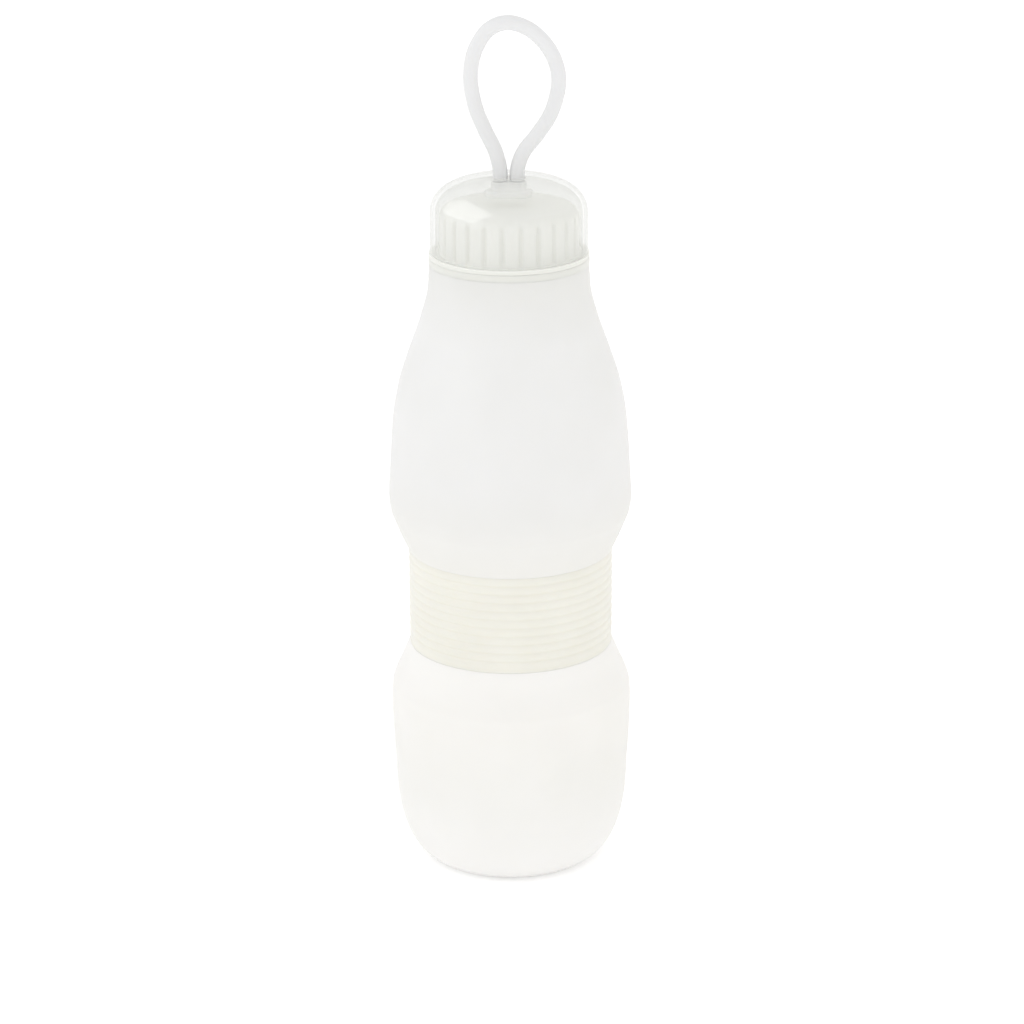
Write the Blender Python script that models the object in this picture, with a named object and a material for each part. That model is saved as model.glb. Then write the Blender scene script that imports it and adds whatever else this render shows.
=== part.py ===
"""Folding water bottle: a soft body that folds at a ribbed waist, and a domed screw cap with a carrying loop.

Metres, +Z up. The origin is the middle of the flat foot, and the body's axis is +Z.
The bottle stands at its full height. It folds by sliding down over its own waist in two steps.
"""
import math

import bmesh
import bpy
from mathutils import Matrix, Vector

MM = 0.001

# Driving dimensions.
HEIGHT = 210.2 * MM              # foot to crown, without the loop
BODY_RADIUS = 35.96 * MM         # widest circle of the lower half; the upper half is nearly the same
WAIST_RADIUS = 30.3 * MM
NECK_RADIUS = 23.25 * MM
FOOT_RADIUS = 22.2 * MM
WALL = 2.1 * MM                  # soft body wall
GAP = 0.3 * MM                   # clearance between neighbouring pieces

# Heights along the body.
LOWER_RIM_Z = 57.0 * MM          # top of the lower half, where its fold wall starts
BAND_LOW_Z = 68.4 * MM
BAND_HIGH_Z = 97.9 * MM
UPPER_RIM_Z = 107.3 * MM         # bottom of the upper half, where its fold wall ends
NECK_TOP_Z = 184.55 * MM

# Screw thread between mouthpiece and cap.
THREAD_PITCH = 4.0 * MM
THREAD_DEPTH = 1.1 * MM
THREAD_LOW_Z = 189.0 * MM
THREAD_HIGH_Z = 196.6 * MM
THREAD_ROWS = 11
SPOUT_RADIUS = 17.0 * MM         # spout wall between its threads
CORE_BORE_RADIUS = 18.55 * MM    # cap core wall between its threads

# Carrying loop.
CORD_RADIUS = 2.15 * MM
FLEX_Z = 209.5 * MM              # height about which the loop bends over

BODY_SEGMENTS = 40
CAP_SEGMENTS = 72


# ---------------------------------------------------------------- helpers

def clear_scene():
    for obj in list(bpy.data.objects):
        bpy.data.objects.remove(obj, do_unlink=True)


def make_material(name, color, roughness, alpha=1.0):
    material = bpy.data.materials.new(name)
    material.use_nodes = True
    shader = material.node_tree.nodes["Principled BSDF"]
    shader.inputs["Base Color"].default_value = (*color, 1.0)
    shader.inputs["Roughness"].default_value = roughness
    shader.inputs["Metallic"].default_value = 0.0
    shader.inputs["Alpha"].default_value = alpha
    return material


def add_object(name, mesh, material):
    obj = bpy.data.objects.new(name, mesh)
    obj.data.materials.append(material)
    bpy.context.scene.collection.objects.link(obj)
    return obj


def shade(mesh, sharp_degrees=35.0):
    mesh.shade_smooth()
    mesh.set_sharp_from_angle(angle=math.radians(sharp_degrees))


def turned(name, outline, material, segments=BODY_SEGMENTS, shift=None):
    """Spin a closed outline of (radius, height) points once round Z. shift(radius, angle, z) may move the wall."""
    bm = bmesh.new()
    verts = [bm.verts.new((r, 0.0, z)) for r, z in outline]
    edges = [bm.edges.new((a, b)) for a, b in zip(verts, verts[1:])]
    if outline[0][0] > 0.0:
        edges.append(bm.edges.new((verts[-1], verts[0])))
    bmesh.ops.spin(bm, geom=verts + edges, axis=(0, 0, 1), cent=(0, 0, 0), angle=2 * math.pi,
                   steps=segments, use_merge=True, use_duplicate=False)
    bmesh.ops.remove_doubles(bm, verts=bm.verts, dist=0.001 * MM)
    if shift:
        for vert in bm.verts:
            radius = math.hypot(vert.co.x, vert.co.y)
            if radius < MM:
                continue
            angle = math.atan2(vert.co.y, vert.co.x) % (2 * math.pi)
            scale = shift(radius, angle, vert.co.z) / radius
            vert.co.x *= scale
            vert.co.y *= scale
    bmesh.ops.recalc_face_normals(bm, faces=bm.faces)
    mesh = bpy.data.meshes.new(name)
    bm.to_mesh(mesh)
    bm.free()
    shade(mesh)
    return add_object(name, mesh, material)


def lofted_stadium(name, sections, material, arc_steps=8):
    """Stack round-ended slots, each (half length of the straight side, end radius, z), into one solid."""
    bm = bmesh.new()
    rings = []
    for half, radius, z in sections:
        ring = []
        for side in (1, -1):
            for i in range(arc_steps + 1):
                angle = -math.pi / 2 + math.pi * i / arc_steps
                x = side * (half + radius * math.cos(angle))
                y = side * radius * math.sin(angle)
                ring.append(bm.verts.new((x, y, z)))
        rings.append(ring)
    for low, high in zip(rings, rings[1:]):
        for i in range(len(low)):
            j = (i + 1) % len(low)
            bm.faces.new((low[i], low[j], high[j], high[i]))
    bm.faces.new(list(reversed(rings[0])))
    bm.faces.new(rings[-1])
    mesh = bpy.data.meshes.new(name)
    bm.to_mesh(mesh)
    bm.free()
    shade(mesh)
    return add_object(name, mesh, material)


def smooth_profile(points, steps):
    """Monotone cubic curve through (radius, z) points given with rising z, read at steps + 1 even heights."""
    heights = [z for _, z in points]
    radii = [r for r, _ in points]
    slopes = [(radii[i + 1] - radii[i]) / (heights[i + 1] - heights[i]) for i in range(len(points) - 1)]
    tangents = [slopes[0]]
    for before, after in zip(slopes, slopes[1:]):
        tangents.append(2 * before * after / (before + after) if before * after > 0 else 0.0)
    tangents.append(slopes[-1])
    curve = []
    for k in range(steps + 1):
        z = heights[0] + (heights[-1] - heights[0]) * k / steps
        i = min(max(j for j in range(len(points) - 1) if heights[j] <= z + 1e-12), len(points) - 2)
        span = heights[i + 1] - heights[i]
        t = (z - heights[i]) / span
        r = ((2 * t**3 - 3 * t**2 + 1) * radii[i] + (t**3 - 2 * t**2 + t) * span * tangents[i]
             + (3 * t**2 - 2 * t**3) * radii[i + 1] + (t**3 - t**2) * span * tangents[i + 1])
        curve.append((r, z))
    return curve


def inset_profile(curve, distance):
    """Move a profile towards the axis, at right angles to itself. The profile's z rises."""
    moved = []
    for i, (r, z) in enumerate(curve):
        r0, z0 = curve[max(i - 1, 0)]
        r1, z1 = curve[min(i + 1, len(curve) - 1)]
        length = math.hypot(r1 - r0, z1 - z0)
        moved.append((r - distance * (z1 - z0) / length, z + distance * (r1 - r0) / length))
    return moved


def superellipse(r_start, r_end, z_start, z_end, power_r, power_z, steps):
    """Quarter of a superellipse from (r_start, z_start), where the wall is upright, to (r_end, z_end)."""
    arc = []
    for k in range(steps + 1):
        t = math.pi / 2 * k / steps
        r = r_end + (r_start - r_end) * max(math.cos(t), 0.0) ** (2 / power_r)
        z = z_start + (z_end - z_start) * math.sin(t) ** (2 / power_z)
        arc.append((r, z))
    arc[-1] = (r_end, z_end)
    return arc


# ---------------------------------------------------------------- soft body

CORNER_TOP_Z = 28.7 * MM
CORNER_RADIUS = 34.97 * MM
CORNER_POWER = 2.23

LOWER_POINTS = [(CORNER_RADIUS, CORNER_TOP_Z), (35.6 * MM, 38 * MM), (BODY_RADIUS, 50 * MM),
                (35.75 * MM, 54.5 * MM), (35.1 * MM, LOWER_RIM_Z)]
LOWER_FOLD_POINTS = [(35.0 * MM, LOWER_RIM_Z + GAP), (33.0 * MM, 62 * MM), (31.3 * MM, 66 * MM),
                     (WAIST_RADIUS, BAND_LOW_Z - GAP)]
UPPER_FOLD_POINTS = [(WAIST_RADIUS, BAND_HIGH_Z + GAP), (31.3 * MM, 100 * MM), (33.1 * MM, 104 * MM),
                     (34.3 * MM, UPPER_RIM_Z - GAP)]
UPPER_POINTS = [(34.4 * MM, UPPER_RIM_Z), (35.4 * MM, 110 * MM), (35.9 * MM, 114 * MM), (35.4 * MM, 124 * MM),
                (34.3 * MM, 139 * MM), (32.5 * MM, 149 * MM), (29.3 * MM, 159 * MM), (25.8 * MM, 169 * MM),
                (23.6 * MM, 178 * MM), (NECK_RADIUS, NECK_TOP_Z)]
NECK_BORE_RADIUS = 21.4 * MM
NECK_SEAT_Z = 170.0 * MM         # ledge under the mouthpiece's skirt


def make_lower_body(material):
    corner = superellipse(CORNER_RADIUS, FOOT_RADIUS, CORNER_TOP_Z, 0.0, CORNER_POWER, CORNER_POWER, 7)
    wall = smooth_profile(LOWER_POINTS, 6)
    inner_foot = superellipse(CORNER_RADIUS - WALL, FOOT_RADIUS - 1.5 * WALL, CORNER_TOP_Z, 1.3 * WALL,
                              CORNER_POWER, CORNER_POWER, 5)
    inner_wall = [(r - WALL, z) for r, z in wall[2:]]
    recess_radius = 17.0 * MM
    recess_depth = 1.0 * MM
    outside = [(0.0, recess_depth), (recess_radius, recess_depth), (recess_radius + recess_depth, 0.0)]
    outside += list(reversed(corner)) + wall[1:]
    inside = list(reversed(inner_wall)) + inner_foot + [(0.0, 1.3 * WALL + recess_depth)]
    return turned("lower_body", outside + inside, material)


def make_fold_wall(name, points, material):
    outside = smooth_profile(points, 3)
    inside = [(r - WALL, z) for r, z in outside]
    return turned(name, outside + list(reversed(inside)), material)


BAND_THICKNESS = 1.4 * MM
BAND_GROOVES = 10
GROOVE_PITCH = 2.61 * MM
FIRST_GROOVE_Z = 71.9 * MM
GROOVE_DEPTH = 0.4 * MM
GROOVE_WIDTH = 1.6 * MM
TUBE_RADIUS = WAIST_RADIUS - BAND_THICKNESS - GAP


def make_waist_tube(material):
    inner = TUBE_RADIUS - WALL
    outline = [(inner, BAND_LOW_Z), (TUBE_RADIUS, BAND_LOW_Z), (TUBE_RADIUS, BAND_HIGH_Z), (inner, BAND_HIGH_Z)]
    return turned("waist_tube", outline, material)


def make_waist_band(material):
    inner = WAIST_RADIUS - BAND_THICKNESS
    outline = [(inner, BAND_LOW_Z), (WAIST_RADIUS, BAND_LOW_Z)]
    for i in range(BAND_GROOVES):
        z = FIRST_GROOVE_Z + i * GROOVE_PITCH
        outline.append((WAIST_RADIUS, z - GROOVE_WIDTH / 2))
        outline.append((WAIST_RADIUS - GROOVE_DEPTH, z))
        outline.append((WAIST_RADIUS, z + GROOVE_WIDTH / 2))
    outline += [(WAIST_RADIUS, BAND_HIGH_Z), (inner, BAND_HIGH_Z)]
    return turned("waist_band", outline, material)


def make_upper_body(material):
    outside = smooth_profile(UPPER_POINTS, 15)
    inside = [(r, z) for r, z in inset_profile(smooth_profile(UPPER_POINTS, 9), WALL) if z < NECK_SEAT_Z - WALL]
    inside[0] = (UPPER_POINTS[0][0] - WALL, UPPER_RIM_Z)
    inside += [(NECK_BORE_RADIUS, NECK_SEAT_Z), (NECK_BORE_RADIUS, NECK_TOP_Z)]
    return turned("upper_body", outside + list(reversed(inside)), material)


# ---------------------------------------------------------------- neck fittings

COLLAR_LOW_Z = NECK_TOP_Z + GAP
COLLAR_HIGH_Z = 186.45 * MM
SKIRT_RADIUS = 20.7 * MM
BARB_RADIUS = 21.1 * MM
LIP_Z = 197.9 * MM
MOUTH_RADIUS = 15.6 * MM


def thread_height(angle, z, phase):
    """Height of a helical ridge, from 0 in its root to 1 on its crest. phase is its height at angle 0."""
    turn = (z - phase) / THREAD_PITCH - angle / (2 * math.pi)
    away = abs(turn - round(turn)) * THREAD_PITCH
    crest_half = 0.45 * MM
    flank = 0.75 * MM
    ridge = min(max((crest_half + flank - away) / flank, 0.0), 1.0)
    fade = min(max((z - THREAD_LOW_Z) / MM, 0.0), max((THREAD_HIGH_Z - z) / MM, 0.0), 1.0)
    return ridge * fade


def thread_levels():
    return [THREAD_LOW_Z + (THREAD_HIGH_Z - THREAD_LOW_Z) * i / THREAD_ROWS for i in range(THREAD_ROWS + 1)]


def make_neck_collar(material):
    middle = (COLLAR_LOW_Z + COLLAR_HIGH_Z) / 2
    half = (COLLAR_HIGH_Z - COLLAR_LOW_Z) / 2
    bead = []
    for k in range(5):
        angle = -math.pi / 2 + math.pi * k / 4
        bead.append((NECK_RADIUS - 0.5 * MM + 0.55 * MM * math.cos(angle), middle + half * math.sin(angle)))
    inner = BARB_RADIUS + GAP
    outline = [(inner, COLLAR_LOW_Z)] + bead + [(inner, COLLAR_HIGH_Z)]
    return turned("neck_collar", outline, material)


def make_mouthpiece(material):
    skirt_inner = SKIRT_RADIUS - 1.3 * MM
    skirt_low = NECK_SEAT_Z + 1.0 * MM
    outline = [(skirt_inner, skirt_low), (SKIRT_RADIUS, skirt_low)]
    for barb in range(2):
        z = skirt_low + (3.0 + 4.5 * barb) * MM
        outline += [(SKIRT_RADIUS, z), (BARB_RADIUS, z + 0.6 * MM), (SKIRT_RADIUS, z + 1.2 * MM)]
    outline += [(SKIRT_RADIUS, COLLAR_HIGH_Z), (SPOUT_RADIUS, COLLAR_HIGH_Z + GAP)]
    outline += [(SPOUT_RADIUS, z) for z in thread_levels()]
    outline += [(SPOUT_RADIUS, LIP_Z - 0.5 * MM), (SPOUT_RADIUS - 0.5 * MM, LIP_Z),
                (MOUTH_RADIUS + 0.4 * MM, LIP_Z), (MOUTH_RADIUS, LIP_Z - 0.5 * MM),
                (MOUTH_RADIUS, COLLAR_HIGH_Z - 2.5 * MM), (skirt_inner, COLLAR_HIGH_Z - 4.0 * MM)]

    def add_thread(radius, angle, z):
        if abs(radius - SPOUT_RADIUS) > 0.01 * MM:
            return radius
        return radius + THREAD_DEPTH * thread_height(angle, z, THREAD_LOW_Z)

    return turned("mouthpiece", outline, material, shift=add_thread)


# ---------------------------------------------------------------- cap

CAP_LOW_Z = COLLAR_HIGH_Z + GAP
CAP_RADIUS = 22.93 * MM
FLANGE_RADIUS = 23.3 * MM
FLANGE_HEIGHT = 1.2 * MM
DOME_LOW_Z = 198.5 * MM
SHELL_WALL = 1.6 * MM
CORE_RADIUS = 20.3 * MM
CORE_TOP_Z = 201.6 * MM
CORE_CEILING_Z = 200.0 * MM
CORE_RIBS = 24
RIB_HEIGHT = 0.5 * MM
SLOT_HALF = 2.7 * MM
SLOT_RADIUS = 2.7 * MM


def make_cap_gasket(material):
    low = LIP_Z + GAP
    high = CORE_CEILING_Z - GAP
    inner = MOUTH_RADIUS - 0.4 * MM
    outer = CORE_BORE_RADIUS - 0.5 * MM
    outline = [(inner, low), (outer, low), (outer, high), (inner, high)]
    return turned("cap_gasket", outline, material)


def make_cap_core(material):
    bevel = 0.3 * MM
    shoulder = 2.6 * MM
    rib_low = CAP_LOW_Z + FLANGE_HEIGHT
    rib_high = CORE_TOP_Z - shoulder
    valley = CORE_RADIUS - RIB_HEIGHT
    outline = [(FLANGE_RADIUS - bevel, CAP_LOW_Z), (FLANGE_RADIUS, CAP_LOW_Z + bevel),
               (FLANGE_RADIUS, rib_low - bevel), (FLANGE_RADIUS - bevel, rib_low), (CORE_RADIUS + bevel, rib_low),
               (valley, rib_low + bevel), (valley, rib_high)]
    for k in range(1, 5):
        angle = math.pi / 2 * k / 4
        outline.append((CORE_RADIUS - shoulder * (1 - math.cos(angle)), rib_high + shoulder * math.sin(angle)))
    outline += [(0.0, CORE_TOP_Z), (0.0, CORE_CEILING_Z), (CORE_BORE_RADIUS, CORE_CEILING_Z)]
    outline += [(CORE_BORE_RADIUS, z) for z in reversed(thread_levels())]
    outline += [(CORE_BORE_RADIUS, CAP_LOW_Z)]
    start = outline.index((0.0, CORE_CEILING_Z))
    outline = outline[start:] + outline[:start]

    def add_ribs_and_thread(radius, angle, z):
        if abs(radius - valley) < 0.01 * MM:
            place = (angle / (2 * math.pi) * CORE_RIBS + 0.01) % 1.0
            return radius + (0.0 if place < 0.3 else RIB_HEIGHT)
        if abs(radius - CORE_BORE_RADIUS) < 0.01 * MM:
            return radius - THREAD_DEPTH * thread_height(angle, z, THREAD_LOW_Z + THREAD_PITCH / 2)
        return radius

    return turned("cap_core", outline, material, CAP_SEGMENTS, add_ribs_and_thread)


def make_cap_shell(material, cutter_material):
    inner_radius = CAP_RADIUS - SHELL_WALL
    dome = superellipse(CAP_RADIUS, 0.0, DOME_LOW_Z, HEIGHT, 2.68, 2.61, 9)
    inner_dome = superellipse(inner_radius, 0.0, DOME_LOW_Z, HEIGHT - SHELL_WALL, 2.68, 2.61, 7)
    bottom = CAP_LOW_Z + FLANGE_HEIGHT + GAP
    inside = list(reversed(inner_dome)) + [(inner_radius, bottom), (CAP_RADIUS, bottom)]
    shell = turned("cap_shell", inside + dome, material)
    cutter = lofted_stadium("slot_cutter", [(SLOT_HALF, SLOT_RADIUS, HEIGHT - 5 * MM),
                                            (SLOT_HALF, SLOT_RADIUS, HEIGHT + 5 * MM)], cutter_material)
    cutter.hide_render = True
    cutter.display_type = "WIRE"
    cut = shell.modifiers.new("slot", "BOOLEAN")
    cut.operation = "DIFFERENCE"
    cut.object = cutter
    return shell


def make_strap_anchor(material):
    """A flat foot under the crown, with a plug that stands up into the slot."""
    foot_low = 203.4 * MM
    foot_high = 206.2 * MM
    plug_high = FLEX_Z - 0.8 * MM
    edge = 0.6 * MM
    plug = SLOT_RADIUS - GAP
    half = 3.4 * MM
    end = 3.6 * MM
    sections = [(half, end - edge, foot_low), (half, end, foot_low + edge),
                (half, end, foot_high - edge), (half, end - edge, foot_high),
                (SLOT_HALF, plug, foot_high + 0.2 * MM), (SLOT_HALF, plug, plug_high)]
    return lofted_stadium("strap_anchor", sections, material)


# ---------------------------------------------------------------- carrying loop

# Centre line of the loop, in millimetres as (x, z): up the left side, over the top, down the right side.
LOOP_ROUTE = [(-2.4, 209.0), (-2.6, 212.9), (-4.0, 218.0), (-6.6, 223.4), (-9.4, 230.4), (-10.7, 238.4),
              (-9.6, 246.0), (-5.6, 252.4), (0.2, 254.5), (7.0, 251.9), (12.4, 245.6), (14.4, 237.8),
              (12.5, 229.2), (8.4, 222.5), (4.4, 217.4), (2.7, 212.9), (2.4, 209.0)]
LOOP_POINTS = 32


def loop_line():
    """Catmull-Rom curve through the route, read at even steps along its length."""
    route = [Vector((x * MM, 0.0, z * MM)) for x, z in LOOP_ROUTE]
    ends = [2 * route[0] - route[1]] + route + [2 * route[-1] - route[-2]]
    fine = []
    for a, b, c, d in zip(ends, ends[1:], ends[2:], ends[3:]):
        for k in range(20):
            t = k / 20
            fine.append(0.5 * (2 * b + (c - a) * t + (2 * a - 5 * b + 4 * c - d) * t**2
                               + (3 * b - a - 3 * c + d) * t**3))
    fine.append(route[-1])
    lengths = [0.0]
    for a, b in zip(fine, fine[1:]):
        lengths.append(lengths[-1] + (b - a).length)
    line = []
    for k in range(LOOP_POINTS):
        goal = lengths[-1] * k / (LOOP_POINTS - 1)
        i = min(max(j for j in range(len(fine) - 1) if lengths[j] <= goal + 1e-12), len(fine) - 2)
        share = (goal - lengths[i]) / (lengths[i + 1] - lengths[i])
        line.append(fine[i].lerp(fine[i + 1], share))
    return line


def make_strap_loop(material):
    hinge = bpy.data.objects.new("strap_flex_axis", None)
    hinge.location = (0.0, 0.0, FLEX_Z)
    bpy.context.scene.collection.objects.link(hinge)
    line = loop_line()
    curve = bpy.data.curves.new("strap_loop", "CURVE")
    curve.dimensions = "3D"
    curve.bevel_depth = CORD_RADIUS
    curve.bevel_resolution = 2
    curve.use_fill_caps = True
    spline = curve.splines.new("POLY")
    spline.points.add(len(line) - 1)
    for point, place in zip(spline.points, line):
        point.co = (place.x, place.y, place.z, 1.0)
    loop = add_object("strap_loop", curve, material)
    loop.parent = hinge
    loop.matrix_parent_inverse = Matrix.Translation((0.0, 0.0, -FLEX_Z))
    return loop


def main():
    clear_scene()
    silicone = make_material("soft_silicone", (0.90, 0.90, 0.89), 0.55)
    band = make_material("cream_silicone", (0.86, 0.84, 0.74), 0.5)
    plastic = make_material("natural_plastic", (0.80, 0.80, 0.76), 0.35)
    clear = make_material("clear_plastic", (0.85, 0.86, 0.82), 0.12, 0.55)
    seal = make_material("seal_rubber", (0.82, 0.82, 0.80), 0.6)
    cord = make_material("strap_silicone", (0.84, 0.84, 0.84), 0.5)
    make_lower_body(silicone)
    make_fold_wall("lower_fold_wall", LOWER_FOLD_POINTS, silicone)
    make_waist_tube(silicone)
    make_waist_band(band)
    make_fold_wall("upper_fold_wall", UPPER_FOLD_POINTS, silicone)
    make_upper_body(silicone)
    make_neck_collar(plastic)
    make_mouthpiece(plastic)
    make_cap_gasket(seal)
    make_cap_core(plastic)
    make_cap_shell(clear, clear)
    make_strap_anchor(cord)
    make_strap_loop(cord)


main()
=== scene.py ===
"""Looks of the folding water bottle: soft translucent body, ribbed band, clear domed cap and cord loop.

Metres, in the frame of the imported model: +Z up, the bottle's axis is Z, its foot stands on z = 0.
"""

import math

import bpy
import numpy as np
from mathutils import Euler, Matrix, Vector


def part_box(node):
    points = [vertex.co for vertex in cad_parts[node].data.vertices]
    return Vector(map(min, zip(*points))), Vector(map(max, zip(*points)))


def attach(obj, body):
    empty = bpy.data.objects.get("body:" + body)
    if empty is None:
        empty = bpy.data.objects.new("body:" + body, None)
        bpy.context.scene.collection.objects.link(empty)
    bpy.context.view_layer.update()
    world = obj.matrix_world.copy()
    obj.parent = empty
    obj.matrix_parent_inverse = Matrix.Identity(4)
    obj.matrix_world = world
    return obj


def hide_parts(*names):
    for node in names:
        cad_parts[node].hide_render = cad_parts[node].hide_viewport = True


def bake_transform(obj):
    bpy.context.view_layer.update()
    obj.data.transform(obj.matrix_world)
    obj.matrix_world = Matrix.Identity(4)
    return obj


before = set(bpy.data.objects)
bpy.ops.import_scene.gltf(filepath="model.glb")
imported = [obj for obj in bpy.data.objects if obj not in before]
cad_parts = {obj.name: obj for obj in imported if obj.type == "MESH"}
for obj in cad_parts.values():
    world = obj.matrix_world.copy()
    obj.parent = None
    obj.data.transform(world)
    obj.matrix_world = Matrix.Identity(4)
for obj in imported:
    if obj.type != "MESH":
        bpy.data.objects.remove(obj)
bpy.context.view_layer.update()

MM = 0.001
TURN = 2 * math.pi


# ---------------------------------------------------------------- camera and stage

CAMERA_DISTANCE = 0.914
CAMERA_HEIGHT = 0.42365
CAMERA_AIM = (0.0005, 0.0, 0.10805)
CAMERA_LENS = 114.26
CAMERA_ROLL = math.radians(-0.28)


KEY_SIDE = (-0.5, -0.45, 0.75)
KEY_SIDE_LIGHT = (0.957, 0.962, 0.968)
FAR_SIDE_LIGHT = (0.955, 0.945, 0.92)
WORLD_STRENGTH = 1.0

KEY_PLACE = (-0.62, -0.72, 0.85)
KEY_AIM = (0.0, 0.0, 0.15)
KEY_SIZE = (0.42, 0.34)
KEY_WATTS = 0.3
SOFTBOX_PLACE = (-0.80, -0.12, 0.78)
SOFTBOX_AIM = (0.0, 0.0, 0.2)
SOFTBOX_SIZE = (1.4, 1.0)
SOFTBOX_WATTS = 18.0

FLOOR_HALF = 12.0


def make_camera():
    camera = bpy.data.objects.new("camera", bpy.data.cameras.new("camera"))
    bpy.context.scene.collection.objects.link(camera)
    camera.location = (CAMERA_AIM[0], -CAMERA_DISTANCE, CAMERA_HEIGHT)
    look = Vector(CAMERA_AIM) - camera.location
    turn = look.to_track_quat("-Z", "Y").to_matrix() @ Euler((0.0, 0.0, CAMERA_ROLL)).to_matrix()
    camera.rotation_euler = turn.to_euler()
    camera.data.lens = CAMERA_LENS
    camera.data.sensor_width = 36.0
    camera.data.clip_start = 0.05
    camera.data.clip_end = 60.0
    bpy.context.scene.camera = camera


def add_area_light(name, place, aim, size, power):
    light = bpy.data.lights.new(name, "AREA")
    light.shape = "RECTANGLE"
    light.size = size[0]
    light.size_y = size[1]
    light.energy = power
    obj = bpy.data.objects.new(name, light)
    bpy.context.scene.collection.objects.link(obj)
    obj.location = place
    obj.rotation_euler = (Vector(aim) - Vector(place)).to_track_quat("-Z", "Y").to_euler()
    return obj


def make_world():
    """Soft white surroundings, a little dimmer and warmer away from the key side.

    Where the camera sees them directly they are plain white.
    """
    world = bpy.data.worlds.new("studio")
    bpy.context.scene.world = world
    world.use_nodes = True
    tree = world.node_tree
    background = tree.nodes["Background"]
    place = tree.nodes.new("ShaderNodeTexCoord")
    facing = tree.nodes.new("ShaderNodeVectorMath")
    facing.operation = "DOT_PRODUCT"
    facing.inputs[1].default_value = Vector(KEY_SIDE).normalized()
    tree.links.new(place.outputs["Generated"], facing.inputs[0])
    spread_out = tree.nodes.new("ShaderNodeMapRange")
    spread_out.inputs["From Min"].default_value = -1.0
    tree.links.new(facing.outputs["Value"], spread_out.inputs["Value"])
    shades = tree.nodes.new("ShaderNodeValToRGB")
    shades.color_ramp.elements[0].color = (*FAR_SIDE_LIGHT, 1.0)
    shades.color_ramp.elements[1].color = (*KEY_SIDE_LIGHT, 1.0)
    tree.links.new(spread_out.outputs["Result"], shades.inputs["Fac"])
    rays = tree.nodes.new("ShaderNodeLightPath")
    seen = tree.nodes.new("ShaderNodeMix")
    seen.data_type = "RGBA"
    seen.inputs["B"].default_value = (1.0, 1.0, 1.0, 1.0)
    tree.links.new(rays.outputs["Is Camera Ray"], seen.inputs["Factor"])
    tree.links.new(shades.outputs["Color"], seen.inputs["A"])
    tree.links.new(seen.outputs["Result"], background.inputs["Color"])
    background.inputs["Strength"].default_value = WORLD_STRENGTH


def make_lights():
    """The softbox adds no diffuse light: it only shows in reflections, mostly on the cap's left shoulder."""
    make_world()
    add_area_light("key_left", KEY_PLACE, KEY_AIM, KEY_SIZE, KEY_WATTS)
    softbox = add_area_light("cap_softbox", SOFTBOX_PLACE, SOFTBOX_AIM, SOFTBOX_SIZE, SOFTBOX_WATTS)
    softbox.visible_diffuse = False
    bpy.context.scene.view_settings.view_transform = "Standard"


def make_floor(material):
    mesh = bpy.data.meshes.new("floor")
    corners = [(x * FLOOR_HALF, y * FLOOR_HALF, 0.0) for x, y in ((-1, -1), (1, -1), (1, 1), (-1, 1))]
    mesh.from_pydata(corners, [], [(0, 1, 2, 3)])
    floor = bpy.data.objects.new("floor", mesh)
    bpy.context.scene.collection.objects.link(floor)
    mesh.materials.append(material)


# ---------------------------------------------------------------- mesh helpers

STRAIGHT_ENOUGH = math.radians(12)


def finish_mesh(name, points, faces, material, sharp_degrees=40.0):
    mesh = bpy.data.meshes.new(name)
    mesh.from_pydata([tuple(p) for p in points], [], faces)
    mesh.validate()
    mesh.shade_smooth()
    mesh.set_sharp_from_angle(angle=math.radians(sharp_degrees))
    obj = bpy.data.objects.new(name, mesh)
    obj.data.materials.append(material)
    bpy.context.scene.collection.objects.link(obj)
    return obj


def ring_faces(ring_count, segments, closed, first=0):
    """Quads between rings of equal size, each ring running anticlockwise seen from above."""
    faces = []
    spans = ring_count if closed else ring_count - 1
    for i in range(spans):
        low = first + i * segments
        high = first + (i + 1) % ring_count * segments
        for j in range(segments):
            k = (j + 1) % segments
            faces.append((low + j, low + k, high + k, high + j))
    return faces


def turned(name, outline, material, segments, shift=None):
    """Spin an outline of (radius, z) points round Z. It runs up the outside and down the inside.

    It is closed, or it starts and ends on the axis. shift(radius, angle, z) may move the wall.
    """
    open_ended = outline[0][0] < 1e-9
    rings = outline[1:-1] if open_ended else outline
    angles = np.arange(segments) / segments * TURN
    points = []
    for radius, z in rings:
        radii = np.full(segments, radius)
        if shift:
            radii = shift(radius, angles, z)
        ring = np.stack([radii * np.cos(angles), radii * np.sin(angles), np.full(segments, z)], axis=1)
        points.extend(ring.tolist())
    faces = ring_faces(len(rings), segments, not open_ended)
    if open_ended:
        last = (len(rings) - 1) * segments
        start = len(points)
        points.append([0.0, 0.0, outline[0][1]])
        points.append([0.0, 0.0, outline[-1][1]])
        for j in range(segments):
            k = (j + 1) % segments
            faces.append((start, k, j))
            faces.append((start + 1, last + j, last + k))
    return finish_mesh(name, points, faces, material)


def rounded(outline, radius, steps=4, closed=True):
    """Replace each corner of an outline by a small curve that starts and ends up to radius away from it.

    A corner that turns less than STRAIGHT_ENOUGH is left alone.
    """
    smooth = []
    count = len(outline)
    for i, corner in enumerate(outline):
        if not closed and i in (0, count - 1):
            smooth.append(corner)
            continue
        here = Vector(corner)
        before = Vector(outline[i - 1]) - here
        after = Vector(outline[(i + 1) % count]) - here
        if before.angle(-after, 0.0) < STRAIGHT_ENOUGH:
            smooth.append(corner)
            continue
        reach = min(radius, before.length * 0.45, after.length * 0.45)
        start = here + before.normalized() * reach
        end = here + after.normalized() * reach
        for k in range(steps + 1):
            t = k / steps
            smooth.append(tuple((1 - t) ** 2 * start + 2 * t * (1 - t) * here + t * t * end))
    return smooth


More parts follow.
